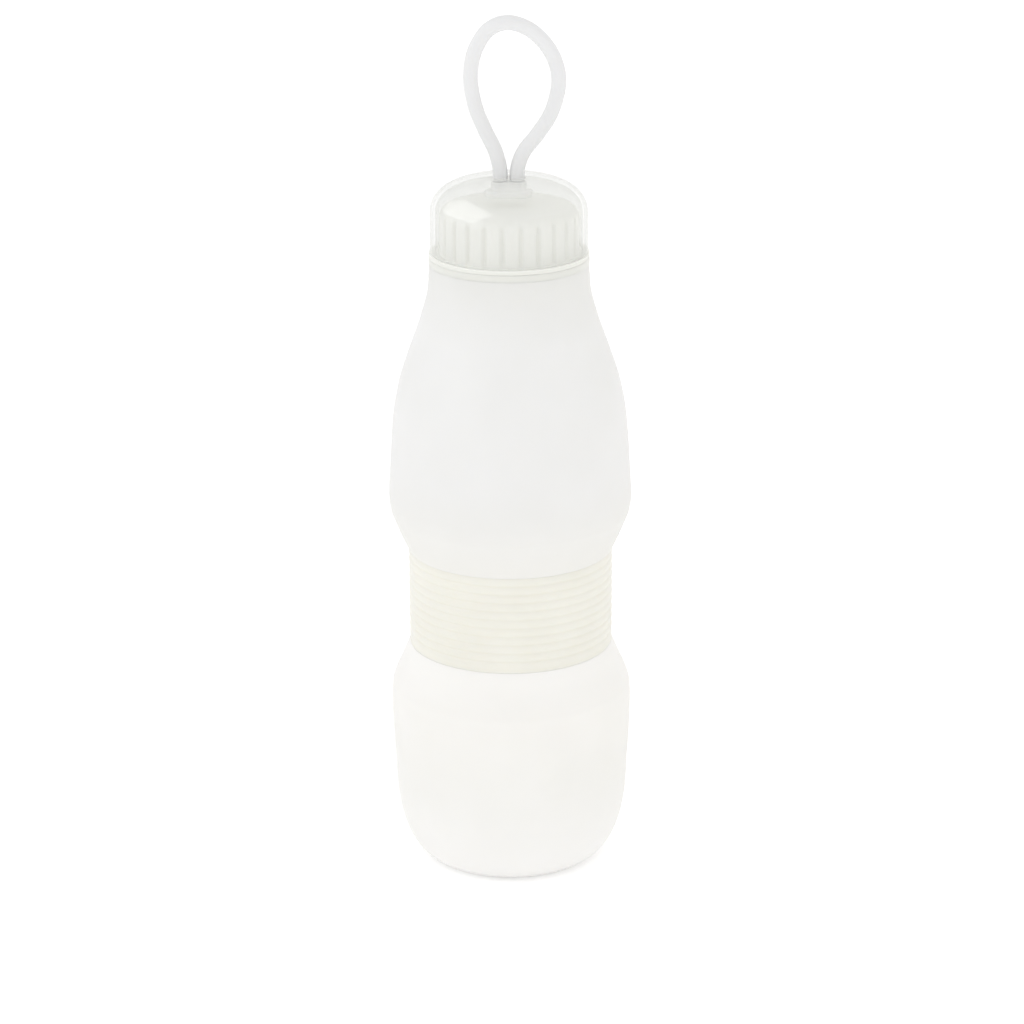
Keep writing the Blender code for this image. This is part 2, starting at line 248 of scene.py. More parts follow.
def smooth_profile(points, steps):
    """Monotone cubic curve through (radius, z) points with rising z, read at steps + 1 even heights."""
    radii = np.array([r for r, _ in points])
    heights = np.array([z for _, z in points])
    slopes = np.diff(radii) / np.diff(heights)
    tangents = np.zeros(len(points))
    tangents[0] = slopes[0]
    tangents[-1] = slopes[-1]
    for i in range(1, len(points) - 1):
        product = slopes[i - 1] * slopes[i]
        if product > 0:
            tangents[i] = 2 * product / (slopes[i - 1] + slopes[i])
    z = np.linspace(heights[0], heights[-1], steps + 1)
    i = np.clip(np.searchsorted(heights, z, side="right") - 1, 0, len(points) - 2)
    span = heights[i + 1] - heights[i]
    t = (z - heights[i]) / span
    r = ((2 * t**3 - 3 * t**2 + 1) * radii[i] + (t**3 - 2 * t**2 + t) * span * tangents[i]
         + (3 * t**2 - 2 * t**3) * radii[i + 1] + (t**3 - t**2) * span * tangents[i + 1])
    return list(zip(r.tolist(), z.tolist()))


def inset_profile(curve, distance):
    """Move a profile towards the axis, at right angles to itself. The profile's z rises."""
    moved = []
    for i, (r, z) in enumerate(curve):
        r0, z0 = curve[max(i - 1, 0)]
        r1, z1 = curve[min(i + 1, len(curve) - 1)]
        length = math.hypot(r1 - r0, z1 - z0)
        moved.append((r - distance * (z1 - z0) / length, z + distance * (r1 - r0) / length))
    return moved


def superellipse(r_start, r_end, z_start, z_end, power_r, power_z, steps):
    """Quarter of a superellipse from (r_start, z_start), where the wall is upright, to (r_end, z_end)."""
    arc = []
    for k in range(steps + 1):
        t = math.pi / 2 * k / steps
        r = r_end + (r_start - r_end) * max(math.cos(t), 0.0) ** (2 / power_r)
        z = z_start + (z_end - z_start) * math.sin(t) ** (2 / power_z)
        arc.append((r, z))
    arc[-1] = (r_end, z_end)
    return arc


# ---------------------------------------------------------------- materials

SILICONE_IOR = 1.41
PLASTIC_IOR = 1.49
SHELL_IOR = 1.5
WHITE = (1.0, 1.0, 1.0)
BLACK = (0.0, 0.0, 0.0)


def new_material(name, color, roughness):
    material = bpy.data.materials.new(name)
    material.use_nodes = True
    shader = material.node_tree.nodes["Principled BSDF"]
    shader.inputs["Base Color"].default_value = (*color, 1.0)
    shader.inputs["Roughness"].default_value = roughness
    return material, shader


def add_node(material, kind, **settings):
    node = material.node_tree.nodes.new(kind)
    for key, value in settings.items():
        setattr(node, key, value)
    return node


def link(material, source, target):
    material.node_tree.links.new(source, target)


def noise(material, scale, detail=2.0, roughness=0.5, stretch=None):
    """Noise in object space. scale is in lumps per metre. stretch scales the axes first."""
    place = add_node(material, "ShaderNodeTexCoord").outputs["Object"]
    if stretch:
        mapping = add_node(material, "ShaderNodeMapping")
        mapping.inputs["Scale"].default_value = stretch
        link(material, place, mapping.inputs["Vector"])
        place = mapping.outputs["Vector"]
    node = add_node(material, "ShaderNodeTexNoise")
    node.inputs["Scale"].default_value = scale
    node.inputs["Detail"].default_value = detail
    node.inputs["Roughness"].default_value = roughness
    link(material, place, node.inputs["Vector"])
    return node.outputs["Fac"]


def ramp(material, value, stops):
    """Color ramp over (position, color) stops."""
    node = add_node(material, "ShaderNodeValToRGB")
    elements = node.color_ramp.elements
    while len(elements) < len(stops):
        elements.new(0.5)
    for element, (position, color) in zip(elements, stops):
        element.position = position
        element.color = (*color, 1.0)
    link(material, value, node.inputs["Fac"])
    return node.outputs["Color"]


def spread(material, value, low, high):
    """Map noise, which mostly lies from 0.3 to 0.7, onto low to high."""
    node = add_node(material, "ShaderNodeMapRange")
    node.inputs["From Min"].default_value = 0.3
    node.inputs["From Max"].default_value = 0.7
    node.inputs["To Min"].default_value = low
    node.inputs["To Max"].default_value = high
    link(material, value, node.inputs["Value"])
    return node.outputs["Result"]


def object_place(material):
    """The X, Y and Z outputs of the surface's place, in metres."""
    place = add_node(material, "ShaderNodeTexCoord")
    split = add_node(material, "ShaderNodeSeparateXYZ")
    link(material, place.outputs["Object"], split.inputs["Vector"])
    return split.outputs


def ripple(material, value, rate, crest):
    """Cosine of value at rate radians per unit, 1 where value is crest."""
    turns = add_node(material, "ShaderNodeMath", operation="MULTIPLY_ADD")
    turns.inputs[1].default_value = rate
    turns.inputs[2].default_value = -rate * crest
    link(material, value, turns.inputs[0])
    wave = add_node(material, "ShaderNodeMath", operation="COSINE")
    link(material, turns.outputs["Value"], wave.inputs[0])
    return wave.outputs["Value"]


def height_along(material, low, high):
    """0 at height low to 1 at height high, in metres."""
    node = add_node(material, "ShaderNodeMapRange")
    node.inputs["From Min"].default_value = low
    node.inputs["From Max"].default_value = high
    link(material, object_place(material)["Z"], node.inputs["Value"])
    return node.outputs["Result"]


def tint(material, color, amount, other, blend="MULTIPLY"):
    node = add_node(material, "ShaderNodeMix", data_type="RGBA", blend_type=blend)
    node.inputs["Factor"].default_value = amount
    link(material, color, node.inputs["A"])
    link(material, other, node.inputs["B"])
    return node.outputs["Result"]


def add_bump(material, shader, layers):
    """Chain bumps. layers are (height output, distance in metres, strength)."""
    normal = None
    for height, distance, strength in layers:
        node = add_node(material, "ShaderNodeBump")
        node.inputs["Distance"].default_value = distance
        node.inputs["Strength"].default_value = strength
        link(material, height, node.inputs["Height"])
        if normal:
            link(material, normal, node.inputs["Normal"])
        normal = node.outputs["Normal"]
    link(material, normal, shader.inputs["Normal"])


def set_subsurface(shader, weight, radius_mm, color_radius):
    shader.inputs["Subsurface Weight"].default_value = weight
    shader.inputs["Subsurface Radius"].default_value = color_radius
    shader.inputs["Subsurface Scale"].default_value = radius_mm * MM


def silicone_material(name, shades):
    """Matt translucent silicone: cloudy tint, fine mould grain and a soft waviness.

    shades are the (height, color) pairs that it runs through from its lowest to its highest.
    """
    material, shader = new_material(name, shades[-1][1], 0.5)
    bottom = shades[0][0]
    span = shades[-1][0] - bottom
    stops = [((z - bottom) / span, color) for z, color in shades]
    # For the body this height ramp also holds painted light, lighter at the top of its lower half.
    base = ramp(material, height_along(material, bottom, bottom + span), stops)
    cloud = ramp(material, noise(material, 45.0, 3.0), [(0.3, (0.975, 0.975, 0.97)), (0.7, WHITE)])
    base = tint(material, base, 1.0, cloud)
    link(material, base, shader.inputs["Base Color"])
    link(material, spread(material, noise(material, 900.0, 3.0), 0.46, 0.58), shader.inputs["Roughness"])
    set_subsurface(shader, 0.2, 1.0, (1.0, 0.96, 0.88))
    shader.inputs["IOR"].default_value = SILICONE_IOR
    shader.inputs["Specular IOR Level"].default_value = 0.15
    grain = noise(material, 5200.0, 2.0)
    wave = noise(material, 110.0, 1.0)
    add_bump(material, shader, [(wave, 0.0005, 0.12), (grain, 0.00003, 0.35)])
    return material


def band_material():
    """Cream silicone with painted shade in its grooves, a little darker than its ribs."""
    material, shader = new_material("cream_silicone", (0.83, 0.80, 0.66), 0.5)
    wave = ripple(material, object_place(material)["Z"], TURN / GROOVE_PITCH, groove_heights()[0])
    # Painted shade: the base colour darkens a little at the middle of each groove.
    groove_painted_shade = ramp(material, wave, [(0.55, WHITE), (1.0, (0.992, 0.99, 0.975))])
    cloud = ramp(material, noise(material, 60.0, 3.0),
                 [(0.3, (0.82, 0.803, 0.726)), (0.7, (0.85, 0.836, 0.766))])
    link(material, tint(material, cloud, 1.0, groove_painted_shade), shader.inputs["Base Color"])
    link(material, spread(material, noise(material, 1100.0, 3.0), 0.38, 0.5), shader.inputs["Roughness"])
    set_subsurface(shader, 0.2, 1.0, (1.0, 0.9, 0.7))
    shader.inputs["IOR"].default_value = SILICONE_IOR
    shader.inputs["Specular IOR Level"].default_value = 0.5
    shader.inputs["Sheen Weight"].default_value = 0.08
    add_bump(material, shader, [(noise(material, 5200.0, 2.0), 0.00003, 0.35)])
    return material


def add_plastic_bump(material, shader):
    """Slight unevenness and a fine grain."""
    waviness = noise(material, 300.0, 2.0)
    grain = noise(material, 6000.0)
    add_bump(material, shader, [(waviness, 0.0002, 0.05), (grain, 0.00002, 0.2)])


def plastic_material(name, color, roughness_low, roughness_high):
    """Natural satin plastic with faint flow marks."""
    material, shader = new_material(name, color, roughness_low)
    darker = tuple(0.965 * c for c in color)
    flow = noise(material, 90.0, 4.0, 0.6, stretch=(1.0, 1.0, 0.25))
    link(material, ramp(material, flow, [(0.3, darker), (0.7, color)]), shader.inputs["Base Color"])
    smudge = noise(material, 260.0, 3.0)
    link(material, spread(material, smudge, roughness_low, roughness_high), shader.inputs["Roughness"])
    set_subsurface(shader, 0.5, 1.5, (1.0, 0.98, 0.9))
    shader.inputs["IOR"].default_value = PLASTIC_IOR
    add_plastic_bump(material, shader)
    return material


def core_material():
    """Milky plastic of the cap's core: painted lighter above its flange to make up for the light the clear
    shell takes away, with painted shade in its grooves.

    off_side keeps that painted shade off the flange and the flat top, which have no grooves.
    """
    material, shader = new_material("core_plastic", (0.95, 0.95, 0.91), 0.3)
    place = object_place(material)
    angle = add_node(material, "ShaderNodeMath", operation="ARCTAN2")
    link(material, place["Y"], angle.inputs[0])
    link(material, place["X"], angle.inputs[1])
    wave = ripple(material, angle.outputs["Value"], CORE_GROOVES, GROOVE_PHASE)
    # Painted shade: darker in the middle of each groove.
    groove_painted_shade = ramp(material, wave, [(0.3, WHITE), (1.0, (0.93, 0.93, 0.92))])
    # Painted light: above the flange the same plastic is lighter than the flange, to make up for the light
    # the clear shell takes away.
    flange_top = CORE_LOW_Z + FLANGE_HEIGHT
    base = ramp(material, height_along(material, flange_top - 0.18 * MM, flange_top - 0.04 * MM),
                [(0.0, (0.82, 0.82, 0.77)), (1.0, (0.99, 0.99, 0.95))])
    off_side = ramp(material, height_along(material, flange_top, CORE_TOP_Z),
                    [(0.02, WHITE), (0.06, BLACK), (0.75, BLACK), (0.9, WHITE)])
    groove_painted_shade = tint(material, groove_painted_shade, 1.0, off_side, "LIGHTEN")
    link(material, tint(material, base, 1.0, groove_painted_shade), shader.inputs["Base Color"])
    link(material, spread(material, noise(material, 260.0, 3.0), 0.34, 0.44), shader.inputs["Roughness"])
    set_subsurface(shader, 0.1, 0.6, (1.0, 0.98, 0.9))
    shader.inputs["Specular IOR Level"].default_value = 0.2
    shader.inputs["IOR"].default_value = PLASTIC_IOR
    add_plastic_bump(material, shader)
    return material


def clear_material():
    """Clear plastic of the cap's shell, with fine handling marks.

    It is a little milky. It covers more of what lies behind it where it is seen edge on.
    """
    material, shader = new_material("clear_plastic", (0.84, 0.85, 0.80), 0.12)
    haze = noise(material, 80.0, 3.0)
    link(material, ramp(material, haze, [(0.3, (0.745, 0.75, 0.722)), (0.7, (0.775, 0.78, 0.752))]),
         shader.inputs["Base Color"])
    link(material, spread(material, noise(material, 420.0, 4.0), 0.09, 0.16), shader.inputs["Roughness"])
    edge_on = add_node(material, "ShaderNodeLayerWeight")
    density = add_node(material, "ShaderNodeMapRange")
    density.inputs["From Min"].default_value = 0.64
    density.inputs["To Min"].default_value = 0.235
    density.inputs["To Max"].default_value = 0.75
    link(material, edge_on.outputs["Facing"], density.inputs["Value"])
    link(material, density.outputs["Result"], shader.inputs["Alpha"])
    shader.inputs["IOR"].default_value = SHELL_IOR
    shader.inputs["Specular IOR Level"].default_value = 0.9
    scratch = noise(material, 1500.0, 1.0, 0.5, stretch=(1.0, 1.0, 0.05))
    add_bump(material, shader, [(noise(material, 160.0, 1.0), 0.0003, 0.04), (scratch, 0.00002, 0.1)])
    return material


def floor_material():
    material, shader = new_material("pale_floor", (0.93, 0.93, 0.93), 0.7)
    shader.inputs["Emission Color"].default_value = (*WHITE, 1.0)
    shader.inputs["Emission Strength"].default_value = 0.22
    shade = ramp(material, noise(material, 3.0, 3.0),
                 [(0.3, (0.925, 0.925, 0.925)), (0.7, (0.935, 0.935, 0.935))])
    link(material, shade, shader.inputs["Base Color"])
    shader.inputs["Specular IOR Level"].default_value = 0.1
    return material


# ---------------------------------------------------------------- sizes shared by the pieces

BAND_LOW_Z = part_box("waist_band")[0].z
BAND_HIGH_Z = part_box("waist_band")[1].z
WAIST_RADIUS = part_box("waist_band")[1].x
TUBE_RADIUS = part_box("waist_tube")[1].x
LOWER_RIM_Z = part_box("lower_body")[1].z
UPPER_RIM_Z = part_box("upper_body")[0].z
NECK_TOP_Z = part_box("upper_body")[1].z
COLLAR_HIGH_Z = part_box("neck_collar")[1].z
LIP_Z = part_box("mouthpiece")[1].z
SHELL_LOW_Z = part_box("cap_shell")[0].z
CORE_LOW_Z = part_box("cap_core")[0].z
CORE_TOP_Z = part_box("cap_core")[1].z
WALL = 2.1 * MM
BODY_RADIUS = 35.96 * MM
NECK_RADIUS = 23.25 * MM
NECK_BORE = 21.4 * MM
SEAM = 0.005 * MM
SEGMENTS = 168
GROOVE_PITCH = 2.61 * MM
GROOVES = 10
FIRST_GROOVE = 3.5 * MM


def groove_heights():
    return [BAND_LOW_Z + FIRST_GROOVE + i * GROOVE_PITCH for i in range(GROOVES)]


# ---------------------------------------------------------------- soft body

def make_lower_skin(material):
    """Lower half, its fold wall and half of the waist, in one soft wall."""
    corner_top = 28.7 * MM
    corner_radius = 34.97 * MM
    foot_radius = 22.2 * MM
    power = 2.23
    corner = list(reversed(superellipse(corner_radius, foot_radius, corner_top, 0.0, power, power, 26)))
    wall = smooth_profile([(corner_radius, corner_top), (35.6 * MM, 38 * MM), (BODY_RADIUS, 50 * MM),
                           (35.75 * MM, 54.5 * MM), (35.1 * MM, LOWER_RIM_Z), (33.0 * MM, 62 * MM),
                           (31.3 * MM, 66 * MM), (WAIST_RADIUS + 0.02 * MM, BAND_LOW_Z - SEAM)], 70)
    recess = 17.0 * MM
    depth = 1.0 * MM
    foot = rounded([(0.0, depth), (recess, depth), (recess + depth, 0.0), (foot_radius, 0.0)],
                   0.8 * MM, 4, False)
    waist_middle = (BAND_LOW_Z + BAND_HIGH_Z) / 2 - 0.1 * MM
    ledge = [(TUBE_RADIUS + 0.2 * MM, BAND_LOW_Z - SEAM), (TUBE_RADIUS, BAND_LOW_Z + 0.2 * MM)]
    tube = [(TUBE_RADIUS, BAND_LOW_Z + (waist_middle - BAND_LOW_Z) * k / 4) for k in range(1, 5)]
    floor_wall = 1.3 * WALL
    inner_foot = list(reversed(superellipse(corner_radius - WALL, foot_radius - 1.5 * WALL, corner_top,
                                            floor_wall, power, power, 20)))
    inner_wall = [p for p in inset_profile(wall, WALL) if p[1] > corner_top + MM]
    inside = [(0.0, floor_wall + depth)] + inner_foot + inner_wall
    inside += [(TUBE_RADIUS - WALL, BAND_LOW_Z + 2 * MM), (TUBE_RADIUS - WALL, waist_middle)]
    outline = foot[:-1] + corner + wall[1:] + ledge + tube + list(reversed(inside))
    skin = turned("lower_skin", outline, material, SEGMENTS)
    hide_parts("lower_body", "lower_fold_wall")
    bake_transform(skin)
    return skin


def make_upper_skin(material):
    """Upper half, its fold wall and half of the waist, up to the neck's rim."""
    waist_middle = (BAND_LOW_Z + BAND_HIGH_Z) / 2 + 0.1 * MM
    wall = smooth_profile([(WAIST_RADIUS + 0.02 * MM, BAND_HIGH_Z + SEAM), (31.3 * MM, 100 * MM),
                           (33.1 * MM, 104 * MM), (34.4 * MM, UPPER_RIM_Z), (35.4 * MM, 110 * MM),
                           (35.9 * MM, 114 * MM), (35.4 * MM, 124 * MM), (34.3 * MM, 139 * MM),
                           (32.5 * MM, 149 * MM), (29.3 * MM, 159 * MM), (25.8 * MM, 169 * MM),
                           (23.6 * MM, 178 * MM), (NECK_RADIUS, NECK_TOP_Z - 0.5 * MM)], 130)
    tube = [(TUBE_RADIUS, waist_middle + (BAND_HIGH_Z - waist_middle) * k / 4) for k in range(4)]
    ledge = [(TUBE_RADIUS, BAND_HIGH_Z - 0.2 * MM), (TUBE_RADIUS + 0.2 * MM, BAND_HIGH_Z + SEAM)]
    seat = 170.0 * MM
    rim_low = NECK_TOP_Z - 1.5 * MM
    inner_wall = [p for p in inset_profile(wall, WALL) if p[1] < seat - WALL and p[1] > BAND_HIGH_Z + MM]
    rim = [(NECK_RADIUS, rim_low), (NECK_RADIUS, NECK_TOP_Z), (NECK_BORE, NECK_TOP_Z), (NECK_BORE, rim_low)]
    inside = [(TUBE_RADIUS - WALL, waist_middle), (TUBE_RADIUS - WALL, BAND_HIGH_Z - 2 * MM)] + inner_wall
    inside += [(NECK_BORE, seat), (NECK_BORE, seat + 5 * MM)]
    outline = tube + ledge + wall[:-4] + rim + list(reversed(inside))
    skin = turned("upper_skin", outline, material, SEGMENTS)
    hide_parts("upper_body", "upper_fold_wall", "waist_tube")
    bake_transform(skin)
    return skin


def make_band(material):
    """Sleeve round the waist: broad soft ribs parted by narrow round-bottomed grooves."""
    steps = 8
    crest = 0.03 * MM
    depth = 0.22 * MM
    half_width = 0.85 * MM
    edge = 0.09 * MM
    inner = WAIST_RADIUS - 1.4 * MM
    outline = [(inner, BAND_LOW_Z), (WAIST_RADIUS - edge, BAND_LOW_Z),
               (WAIST_RADIUS - edge / 3, BAND_LOW_Z + edge / 3), (WAIST_RADIUS, BAND_LOW_Z + edge)]
    for z in groove_heights():
        for k in range(steps + 1):
            across = -1 + 2 * k / steps
            dip = depth * (0.5 + 0.5 * math.cos(math.pi * across))
            outline.append((WAIST_RADIUS - dip, z + across * half_width))
        outline.append((WAIST_RADIUS + crest, z + GROOVE_PITCH / 2))
    outline[-1] = (WAIST_RADIUS, BAND_HIGH_Z - edge)
    outline += [(WAIST_RADIUS - edge / 3, BAND_HIGH_Z - edge / 3), (WAIST_RADIUS - edge, BAND_HIGH_Z),
                (inner, BAND_HIGH_Z)]
    band = turned("ribbed_band", outline, material, SEGMENTS)
    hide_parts("waist_band")
    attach(band, "waist")


# ---------------------------------------------------------------- neck fittings

THREAD_PITCH = 4.0 * MM
THREAD_DEPTH = 1.1 * MM
THREAD_LOW_Z = 189.0 * MM
THREAD_HIGH_Z = 196.6 * MM
THREAD_HALF_WIDTH = 1.2 * MM
THREAD_FLANK = 0.75 * MM
SPOUT_RADIUS = 17.0 * MM
CORE_BORE_RADIUS = 18.55 * MM


def thread_height(angle, z, phase):
    """Height of a helical ridge, 0 in its root and 1 on its crest, with eased flanks and run-outs."""
    turns = (z - phase) / THREAD_PITCH - angle / TURN
    away = np.abs(turns - np.round(turns)) * THREAD_PITCH
    ridge = np.clip((THREAD_HALF_WIDTH - away) / THREAD_FLANK, 0.0, 1.0)
    fade = min(max((z - THREAD_LOW_Z) / MM, 0.0), max((THREAD_HIGH_Z - z) / MM, 0.0), 1.0)
    return ridge**2 * (3 - 2 * ridge) * fade**2 * (3 - 2 * fade)


def thread_levels(steps=38):
    return [THREAD_LOW_Z + (THREAD_HIGH_Z - THREAD_LOW_Z) * i / steps for i in range(steps + 1)]


def make_collar(material):
    """Thin ring between the neck's rim and the cap, with a slight bead round its outside."""
    low = NECK_TOP_Z + SEAM
    high = CORE_LOW_Z - 2 * SEAM
    bulge = 0.12 * MM
    bead = rounded([(NECK_RADIUS, low), (NECK_RADIUS + bulge / 2, low),
                    (NECK_RADIUS + bulge, (low + high) / 2), (NECK_RADIUS, high), (NECK_BORE, high)],
                   0.15 * MM, 4, False)
    outline = [(NECK_BORE, low)] + bead
    collar = turned("collar_ring", outline, material, SEGMENTS)
    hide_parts("neck_collar")
    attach(collar, "upper_body")


def make_mouthpiece(material):
    """Threaded spout with a rounded lip. Two barbs on its skirt hold it in the neck."""
    skirt = 20.7 * MM
    skirt_inner = 19.4 * MM
    skirt_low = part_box("mouthpiece")[0].z
    mouth = 15.6 * MM
    low = [(skirt_inner, skirt_low), (skirt, skirt_low)]
    for barb in range(2):
        z = skirt_low + (3.0 + 4.5 * barb) * MM
        low += [(skirt, z), (skirt + 0.4 * MM, z + 0.6 * MM), (skirt, z + 1.2 * MM)]
    low += [(skirt, COLLAR_HIGH_Z), (SPOUT_RADIUS, COLLAR_HIGH_Z + 0.3 * MM)]
    high = [(SPOUT_RADIUS, LIP_Z), (mouth, LIP_Z), (mouth, COLLAR_HIGH_Z - 2.5 * MM),
            (skirt_inner, COLLAR_HIGH_Z - 4.0 * MM)]
    threads = [(SPOUT_RADIUS, z) for z in thread_levels()]
    outline = rounded(low + threads + high, 0.6 * MM, 5)

    def add_thread(radius, angles, z):
        if abs(radius - SPOUT_RADIUS) > 0.01 * MM or not THREAD_LOW_Z < z < THREAD_HIGH_Z:
            return np.full(len(angles), radius)
        return radius + THREAD_DEPTH * thread_height(angles, z, THREAD_LOW_Z)

    piece = turned("spout", outline, material, SEGMENTS, add_thread)
    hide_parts("mouthpiece")
    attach(piece, "upper_body")


# ---------------------------------------------------------------- cap

CAP_RADIUS = 22.93 * MM
DOME_LOW_Z = 198.5 * MM
HEIGHT = 210.2 * MM
DOME_POWER_R = 2.68
DOME_POWER_Z = 2.61
SHELL_WALL = 1.6 * MM
CORE_RADIUS = 20.3 * MM
CORE_CEILING_Z = 200.0 * MM
CORE_GROOVES = 24
SEGMENTS_PER_GROOVE = 16
GROOVE_PHASE = math.radians(-80.5)
FLANGE_HEIGHT = 1.2 * MM
SLOT_HALF = 2.7 * MM
SLOT_RADIUS = 2.7 * MM
FOOT_HALF = 3.4 * MM
FOOT_RADIUS = 3.6 * MM


def make_gasket(material):
    """Sealing ring with a shallow groove in its underside for the spout's lip."""
    low, high = (corner.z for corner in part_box("cap_gasket"))
    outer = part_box("cap_gasket")[1].x
    inner = 15.2 * MM
    middle = (inner + outer) / 2
    groove_half = 0.6 * MM
    groove_z = low + 0.25 * MM
    outline = rounded([(inner, low), (middle - groove_half, groove_z), (middle + groove_half, groove_z),
                       (outer, low), (outer, high), (inner, high)], 0.4 * MM, 4)
    ring = turned("sealing_ring", outline, material, 128)
    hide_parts("cap_gasket")
    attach(ring, "cap_lift")


def make_core(material):
    """Inner cup: narrow upright grooves round its outside and a thread inside."""
    shoulder = 3.4 * MM
    shoulder_steps = 8
    side_steps = 14
    depth = 0.8 * MM
    groove_half_width = 0.95 * MM
    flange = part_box("cap_core")[1].x
    flange_top = CORE_LOW_Z + FLANGE_HEIGHT
    groove_low = flange_top + 0.2 * MM
    groove_high = CORE_TOP_Z - shoulder
    groove_end = CORE_TOP_Z - 1.9 * MM
    outside = rounded([(CORE_BORE_RADIUS, CORE_LOW_Z), (flange, CORE_LOW_Z), (flange, flange_top),
                       (CORE_RADIUS, flange_top), (CORE_RADIUS, groove_low + 2 * MM)],
                      0.18 * MM, 4, False)[1:-1]
    side_height = groove_high - groove_low
    outside += [(CORE_RADIUS, groove_low + side_height * k / side_steps) for k in range(1, side_steps + 1)]
    for k in range(1, shoulder_steps + 1):
        angle = math.pi / 2 * k / shoulder_steps
        outside.append((CORE_RADIUS - shoulder * (1 - math.cos(angle)),
                        groove_high + shoulder * math.sin(angle)))
    outside.append((0.0, CORE_TOP_Z))
    inside = [(0.0, CORE_CEILING_Z), (CORE_BORE_RADIUS, CORE_CEILING_Z)]
    inside += [(CORE_BORE_RADIUS, z) for z in reversed(thread_levels())] + [(CORE_BORE_RADIUS, CORE_LOW_Z)]
    outline = inside + outside

    def add_grooves_and_thread(radius, angles, z):
        if abs(radius - CORE_BORE_RADIUS) < 0.01 * MM and THREAD_LOW_Z < z < THREAD_HIGH_Z:
            return radius - THREAD_DEPTH * thread_height(angles, z, THREAD_LOW_Z + THREAD_PITCH / 2)
        if radius > CORE_RADIUS - shoulder and z > groove_low - 0.01 * MM:
            place = (angles - GROOVE_PHASE) / TURN * CORE_GROOVES
            away = np.abs(place - np.round(place)) * TURN / CORE_GROOVES * CORE_RADIUS
            groove = np.clip(1 - away / groove_half_width, 0.0, 1.0)
            fade = min(max((z - groove_low) / MM, 0.0), max((groove_end - z) / MM, 0.0), 1.0)
            return radius - depth * groove**2 * (3 - 2 * groove) * fade
        return np.full(len(angles), radius)

    core = turned("ribbed_core", outline, material, CORE_GROOVES * SEGMENTS_PER_GROOVE,
                  add_grooves_and_thread)
    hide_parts("cap_core")
    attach(core, "cap")


def slot_reach(angles, grow=0.0):
    """Distance from the axis to the edge of the slot in each direction."""
    end = SLOT_RADIUS + grow
    cosine = np.abs(np.cos(angles))
    sine = np.maximum(np.abs(np.sin(angles)), 1e-9)
    side = end / sine
    root = np.sqrt(np.maximum(end**2 - (SLOT_HALF * sine) ** 2, 0.0))
    tip = SLOT_HALF * cosine + root
    return np.where(side * cosine <= SLOT_HALF, side, tip)


def dome_height(radius, dome_radius, top):
    """Height of a dome at a distance from the axis. Both its powers match the cap's outline."""
    t = np.arccos(np.clip(radius / dome_radius, 0.0, 1.0) ** (DOME_POWER_R / 2))
    return DOME_LOW_Z + (top - DOME_LOW_Z) * np.sin(t) ** (2 / DOME_POWER_Z)


def make_shell(material):
    """Clear domed shell. Its rings turn from circles into the slot's outline round the crown."""
    segments = 192
    angles = np.arange(segments) / segments * TURN
    crown_radius = 11.0 * MM
    outer_crown_steps = 12
    inner_crown_steps = 8
    outer_edge_steps = 5
    inner_edge_steps = 4
    outer_edge = 0.5 * MM
    inner_edge = 0.3 * MM
    inner_radius = CAP_RADIUS - SHELL_WALL
    inner_top = HEIGHT - SHELL_WALL
    rings = []

    def add_circle(radius, z):
        rings.append((np.full(segments, radius), np.full(segments, z)))

    def dome_arc(dome_radius, top):
        arc = superellipse(dome_radius, 0.0, DOME_LOW_Z, top, DOME_POWER_R, DOME_POWER_Z, 60)
        return [p for p in arc if p[0] > crown_radius]

    hang = 0.26 * MM
    rim_z = SHELL_LOW_Z - hang
    side = rounded([(inner_radius, rim_z), (CAP_RADIUS, rim_z), (CAP_RADIUS, DOME_LOW_Z - MM)],
                   0.3 * MM, 5, False)[1:]
    for radius, z in side + dome_arc(CAP_RADIUS, HEIGHT):
        add_circle(radius, z)
    slot_outer = slot_reach(angles, outer_edge)
    for k in range(1, outer_crown_steps + 1):
        share = k / outer_crown_steps
        radii = crown_radius + (slot_outer - crown_radius) * share
        rings.append((radii, dome_height(radii, CAP_RADIUS, HEIGHT)))
    high = dome_height(slot_outer, CAP_RADIUS, HEIGHT)
    for k in range(1, outer_edge_steps + 1):
        turn = math.pi / 2 * k / outer_edge_steps
        radii = slot_reach(angles, outer_edge * (1 - math.sin(turn)))
        rings.append((radii, high - outer_edge * (1 - math.cos(turn))))
    low = dome_height(slot_outer, inner_radius, inner_top)
    for k in range(inner_edge_steps + 1):
        turn = math.pi / 2 * k / inner_edge_steps
        radii = slot_reach(angles, inner_edge * (1 - math.cos(turn)))
        rings.append((radii, low + inner_edge * (1 - math.sin(turn))))
    slot_inner = slot_reach(angles, inner_edge)
    for k in range(1, inner_crown_steps + 1):
        share = k / inner_crown_steps
        radii = slot_inner + (crown_radius - slot_inner) * share
        rings.append((radii, dome_height(radii, inner_radius, inner_top)))
    for radius, z in reversed(dome_arc(inner_radius, inner_top)):
        add_circle(radius, z)
    add_circle(inner_radius, DOME_LOW_Z - 4 * MM)
    add_circle(inner_radius, rim_z)
    points = []
    for radii, heights in rings:
        points.extend(np.stack([radii * np.cos(angles), radii * np.sin(angles), heights], axis=1).tolist())
    shell = finish_mesh("clear_dome", points, ring_faces(len(rings), segments, True), material)
    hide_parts("cap_shell")
    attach(shell, "cap")
    shell.visible_shadow = False


